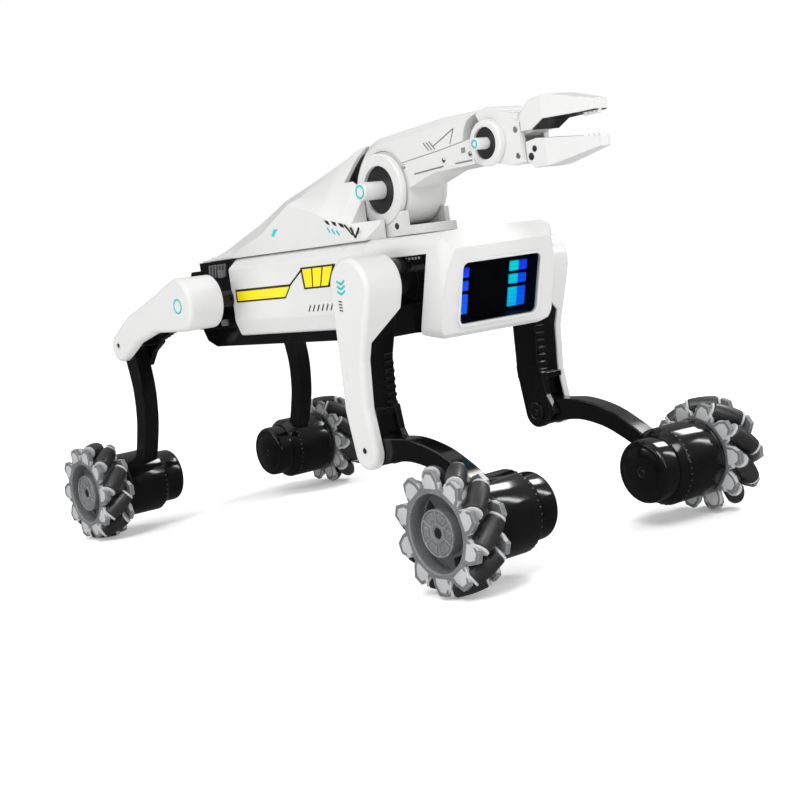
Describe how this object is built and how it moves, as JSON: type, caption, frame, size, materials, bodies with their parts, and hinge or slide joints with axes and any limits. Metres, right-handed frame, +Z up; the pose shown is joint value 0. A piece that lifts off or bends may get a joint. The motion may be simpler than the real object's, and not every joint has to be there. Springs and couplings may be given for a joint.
{
  "type": "quadruped robot",
  "caption": "Four-legged robot on omnidirectional wheels, with jointed legs, a screen face and a pitching two-link arm ending in a gripper on its back",
  "frame": {"origin": "on the ground, under the middle of the overall box", "axes": "+X forward, +Y to the robot's left, +Z up"},
  "size_m": [0.4103, 0.198, 0.2196],
  "materials": {
    "white_shell": "glossy white moulded plastic",
    "black_shell": "high-gloss black moulded plastic",
    "dark_disc": "satin charcoal plastic",
    "grey_hub": "satin mid-grey plastic",
    "roller": "black rubber-coated rollers",
    "steel_pin": "turned steel pins and axles",
    "motor": "plain metal gearmotor cans",
    "window": "dark clear face window",
    "display": "black display panel",
    "light_bar": "lit blue bars",
    "cell": "wrapped battery cells",
    "board": "green circuit board",
    "switch": "black switch knob"
  },
  "bodies": {
    "torso": {"torso_shell_right": "white_shell", "torso_shell_left": "white_shell", "belly_pan": "black_shell", "dorsal_cover": "white_shell", "tail_cover": "grey_hub", "head_shell": "white_shell", "face_window": "window", "display_panel": "display", "light_bars": "light_bar", "front_hip_frame": "black_shell", "rear_hip_frame": "black_shell", "hip_axles": "steel_pin", "hip_gearmotors": "motor", "battery_pack": "cell", "circuit_board": "board", "arm_base": "white_shell", "shoulder_housing": "white_shell", "shoulder_discs": "dark_disc", "shoulder_pins": "white_shell"},
    "switch_knob": {"power_switch": "switch"},
    "thigh_front_right": {"thigh_shell_front_right": "white_shell", "thigh_cover_front_right": "black_shell", "knee_pin_front_right": "steel_pin"},
    "lower_leg_front_right": {"shin_front_right": "black_shell", "motor_drum_front_right": "black_shell", "drum_cap_front_right": "black_shell"},
    "wheel_front_right": {"wheel_hub_front_right": "grey_hub", "wheel_rollers_front_right": "roller"},
    "thigh_front_left": {"thigh_shell_front_left": "white_shell", "thigh_cover_front_left": "black_shell", "knee_pin_front_left": "steel_pin"},
    "lower_leg_front_left": {"shin_front_left": "black_shell", "motor_drum_front_left": "black_shell", "drum_cap_front_left": "black_shell"},
    "wheel_front_left": {"wheel_hub_front_left": "grey_hub", "wheel_rollers_front_left": "roller"},
    "thigh_rear_right": {"thigh_shell_rear_right": "white_shell", "thigh_cover_rear_right": "black_shell", "knee_pin_rear_right": "steel_pin"},
    "lower_leg_rear_right": {"shin_rear_right": "black_shell", "motor_drum_rear_right": "black_shell", "drum_cap_rear_right": "black_shell"},
    "wheel_rear_right": {"wheel_hub_rear_right": "grey_hub", "wheel_rollers_rear_right": "roller"},
    "thigh_rear_left": {"thigh_shell_rear_left": "white_shell", "thigh_cover_rear_left": "black_shell", "knee_pin_rear_left": "steel_pin"},
    "lower_leg_rear_left": {"shin_rear_left": "black_shell", "motor_drum_rear_left": "black_shell", "drum_cap_rear_left": "black_shell"},
    "wheel_rear_left": {"wheel_hub_rear_left": "grey_hub", "wheel_rollers_rear_left": "roller"},
    "upper_arm": {"upper_arm_cover": "white_shell", "upper_arm_frame": "white_shell"},
    "forearm": {"elbow_housing": "white_shell", "forearm_pins": "steel_pin", "elbow_discs": "dark_disc", "elbow_pins": "white_shell"},
    "jaw_upper": {"upper_jaw": "white_shell"},
    "jaw_lower": {"lower_jaw": "white_shell"}
  },
  "joints": [
    {"name": "power_slide", "type": "slide", "parent": "torso", "child": "switch_knob", "axis": [1, 0, 0], "range_m": [0, 0.007]},
    {"name": "hip_front_right", "type": "hinge", "parent": "torso", "child": "thigh_front_right", "pos_m": [0.088, -0.059, 0.14], "axis": [0, -1, 0], "range_deg": [-25, 25]},
    {"name": "knee_front_right", "type": "hinge", "parent": "thigh_front_right", "child": "lower_leg_front_right", "pos_m": [0.08454, -0.059, 0.05807], "axis": [0, -1, 0], "range_deg": [-30, 30]},
    {"name": "wheel_spin_front_right", "type": "hinge", "parent": "lower_leg_front_right", "child": "wheel_front_right", "pos_m": [0.169, -0.0895, 0.03], "axis": [0, 1, 0], "continuous": true},
    {"name": "hip_front_left", "type": "hinge", "parent": "torso", "child": "thigh_front_left", "pos_m": [0.088, 0.059, 0.14], "axis": [0, -1, 0], "range_deg": [-25, 25]},
    {"name": "knee_front_left", "type": "hinge", "parent": "thigh_front_left", "child": "lower_leg_front_left", "pos_m": [0.08454, 0.059, 0.05807], "axis": [0, -1, 0], "range_deg": [-30, 30]},
    {"name": "wheel_spin_front_left", "type": "hinge", "parent": "lower_leg_front_left", "child": "wheel_front_left", "pos_m": [0.169, 0.0895, 0.03], "axis": [0, 1, 0], "continuous": true},
    {"name": "hip_rear_right", "type": "hinge", "parent": "torso", "child": "thigh_rear_right", "pos_m": [-0.08, -0.059, 0.14], "axis": [0, -1, 0], "range_deg": [-25, 25]},
    {"name": "knee_rear_right", "type": "hinge", "parent": "thigh_rear_right", "child": "lower_leg_rear_right", "pos_m": [-0.15886, -0.059, 0.11752], "axis": [0, -1, 0], "range_deg": [-30, 30]},
    {"name": "wheel_spin_rear_right", "type": "hinge", "parent": "lower_leg_rear_right", "child": "wheel_rear_right", "pos_m": [-0.175, -0.0895, 0.03], "axis": [0, 1, 0], "continuous": true},
    {"name": "hip_rear_left", "type": "hinge", "parent": "torso", "child": "thigh_rear_left", "pos_m": [-0.08, 0.059, 0.14], "axis": [0, -1, 0], "range_deg": [-25, 25]},
    {"name": "knee_rear_left", "type": "hinge", "parent": "thigh_rear_left", "child": "lower_leg_rear_left", "pos_m": [-0.15886, 0.059, 0.11752], "axis": [0, -1, 0], "range_deg": [-30, 30]},
    {"name": "wheel_spin_rear_left", "type": "hinge", "parent": "lower_leg_rear_left", "child": "wheel_rear_left", "pos_m": [-0.175, 0.0895, 0.03], "axis": [0, 1, 0], "continuous": true},
    {"name": "shoulder_pitch", "type": "hinge", "parent": "torso", "child": "upper_arm", "pos_m": [0.054, 0, 0.1886], "axis": [0, -1, 0], "range_deg": [-10, 40]},
    {"name": "elbow_pitch", "type": "hinge", "parent": "upper_arm", "child": "forearm", "pos_m": [0.138, 0, 0.2022], "axis": [0, -1, 0], "range_deg": [-35, 35]},
    {"name": "upper_jaw_pivot", "type": "hinge", "parent": "forearm", "child": "jaw_upper", "pos_m": [0.157, 0, 0.206], "axis": [0, -1, 0], "range_deg": [-5, 15]},
    {"name": "lower_jaw_pivot", "type": "hinge", "parent": "forearm", "child": "jaw_lower", "pos_m": [0.157, 0, 0.1935], "axis": [0, -1, 0], "range_deg": [-15, 5]}
  ],
  "couplings": [
    {"joint": "lower_jaw_pivot", "follows": "upper_jaw_pivot", "ratio": -1}
  ]
}
